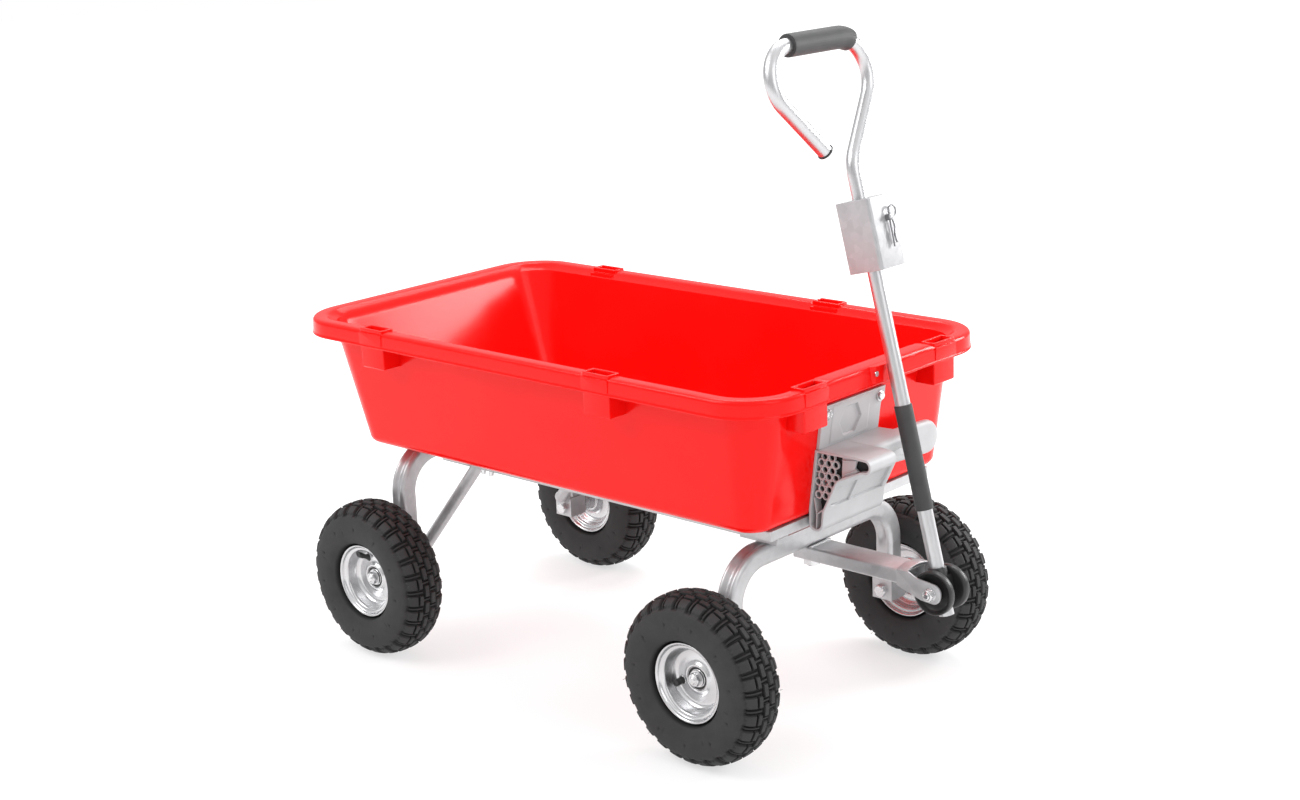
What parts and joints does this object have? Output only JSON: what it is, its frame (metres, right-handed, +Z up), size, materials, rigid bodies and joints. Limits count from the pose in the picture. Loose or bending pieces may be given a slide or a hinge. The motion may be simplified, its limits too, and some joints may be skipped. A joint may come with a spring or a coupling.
{
  "type": "garden dump cart",
  "caption": "Four-wheel garden dump cart: moulded tub hinged behind a steel frame, steered front axle, fold-down pull handle with hitch bracket.",
  "frame": {"origin": "on the ground, in the middle of the cart's bounding box", "axes": "+X forward, towards the pull handle; +Y to the cart's left; +Z up"},
  "size_m": [1.1284, 0.61, 1.0304],
  "materials": {
    "tub_plastic": "smooth gloss moulding",
    "zinc_steel": "satin zinc plate",
    "bright_steel": "bright zinc plate",
    "handle_tube": "satin",
    "foam_grip": "matt foam",
    "black_plastic": "fine grain",
    "grey_plastic": "fine grain",
    "tyre_rubber": "moulded rubber"
  },
  "bodies": {
    "chassis": {"side_rails": "zinc_steel", "cross_members": "zinc_steel", "floor_beams": "zinc_steel", "kingpin_bolster": "zinc_steel", "rear_arch": "zinc_steel", "rear_braces": "zinc_steel", "rear_axle_brackets": "zinc_steel", "rear_axle_bolts": "bright_steel", "hinge_lugs": "zinc_steel", "hinge_pins": "bright_steel", "kingpin": "bright_steel", "frame_bolts": "bright_steel"},
    "front_axle": {"front_arch": "zinc_steel", "front_axle_brackets": "zinc_steel", "front_axle_bolts": "bright_steel", "tongue": "zinc_steel", "clevis": "zinc_steel", "pivot_bolt": "bright_steel", "thrust_washer": "bright_steel"},
    "handle": {"lower_tube": "handle_tube", "handle_sleeve": "foam_grip", "pivot_yoke": "black_plastic", "hitch_bracket": "handle_tube", "hitch_pin": "bright_steel", "upper_tube": "handle_tube", "hand_grip": "foam_grip", "tube_end_cap": "black_plastic"},
    "r_clip": {"hitch_clip": "bright_steel"},
    "bed": {"tub": "tub_plastic", "handle_clip": "tub_plastic", "clip_rivets": "bright_steel", "latch_plate": "grey_plastic", "latch_housing": "grey_plastic", "tub_hinges": "zinc_steel", "tub_bolts": "bright_steel"},
    "latch_lever": {"release_paddle": "grey_plastic", "latch_shaft": "bright_steel"},
    "rear_right_wheel": {"rear_right_tyre": "tyre_rubber", "rear_right_rim_outer": "bright_steel", "rear_right_rim_inner": "bright_steel", "rear_right_hub": "bright_steel", "rear_right_bearings": "black_plastic"},
    "rear_left_wheel": {"rear_left_tyre": "tyre_rubber", "rear_left_rim_outer": "bright_steel", "rear_left_rim_inner": "bright_steel", "rear_left_hub": "bright_steel", "rear_left_bearings": "black_plastic"},
    "front_right_wheel": {"front_right_tyre": "tyre_rubber", "front_right_rim_outer": "bright_steel", "front_right_rim_inner": "bright_steel", "front_right_hub": "bright_steel", "front_right_bearings": "black_plastic"},
    "front_left_wheel": {"front_left_tyre": "tyre_rubber", "front_left_rim_outer": "bright_steel", "front_left_rim_inner": "bright_steel", "front_left_hub": "bright_steel", "front_left_bearings": "black_plastic"}
  },
  "joints": [
    {"name": "steer", "type": "hinge", "parent": "chassis", "child": "front_axle", "pos_m": [0.29525, 0, 0.2774], "axis": [0, 0, 1], "range_deg": [-10, 10]},
    {"name": "handle_fold", "type": "hinge", "parent": "front_axle", "child": "handle", "pos_m": [0.53125, 0, 0.237], "axis": [0, 1, 0], "range_deg": [0, 115]},
    {"name": "clip_slide", "type": "slide", "parent": "handle", "child": "r_clip", "axis": [-0.2385, 0, 0.9711], "range_m": [0, 0.06]},
    {"name": "bed_tip", "type": "hinge", "parent": "chassis", "child": "bed", "pos_m": [-0.43675, 0, 0.318], "axis": [0, -1, 0], "range_deg": [0, 80]},
    {"name": "latch_release", "type": "hinge", "parent": "bed", "child": "latch_lever", "pos_m": [0.40179, 0, 0.398], "axis": [0, -1, 0], "range_deg": [0, 10], "stiffness_Nm_per_rad": 0.6, "springref_deg": -20.05},
    {"name": "rear_right_spin", "type": "hinge", "parent": "chassis", "child": "rear_right_wheel", "pos_m": [-0.41275, -0.262, 0.13], "axis": [0, 1, 0], "continuous": true},
    {"name": "rear_left_spin", "type": "hinge", "parent": "chassis", "child": "rear_left_wheel", "pos_m": [-0.41275, 0.262, 0.13], "axis": [0, 1, 0], "continuous": true},
    {"name": "front_right_spin", "type": "hinge", "parent": "front_axle", "child": "front_right_wheel", "pos_m": [0.29525, -0.262, 0.13], "axis": [0, 1, 0], "continuous": true},
    {"name": "front_left_spin", "type": "hinge", "parent": "front_axle", "child": "front_left_wheel", "pos_m": [0.29525, 0.262, 0.13], "axis": [0, 1, 0], "continuous": true}
  ]
}
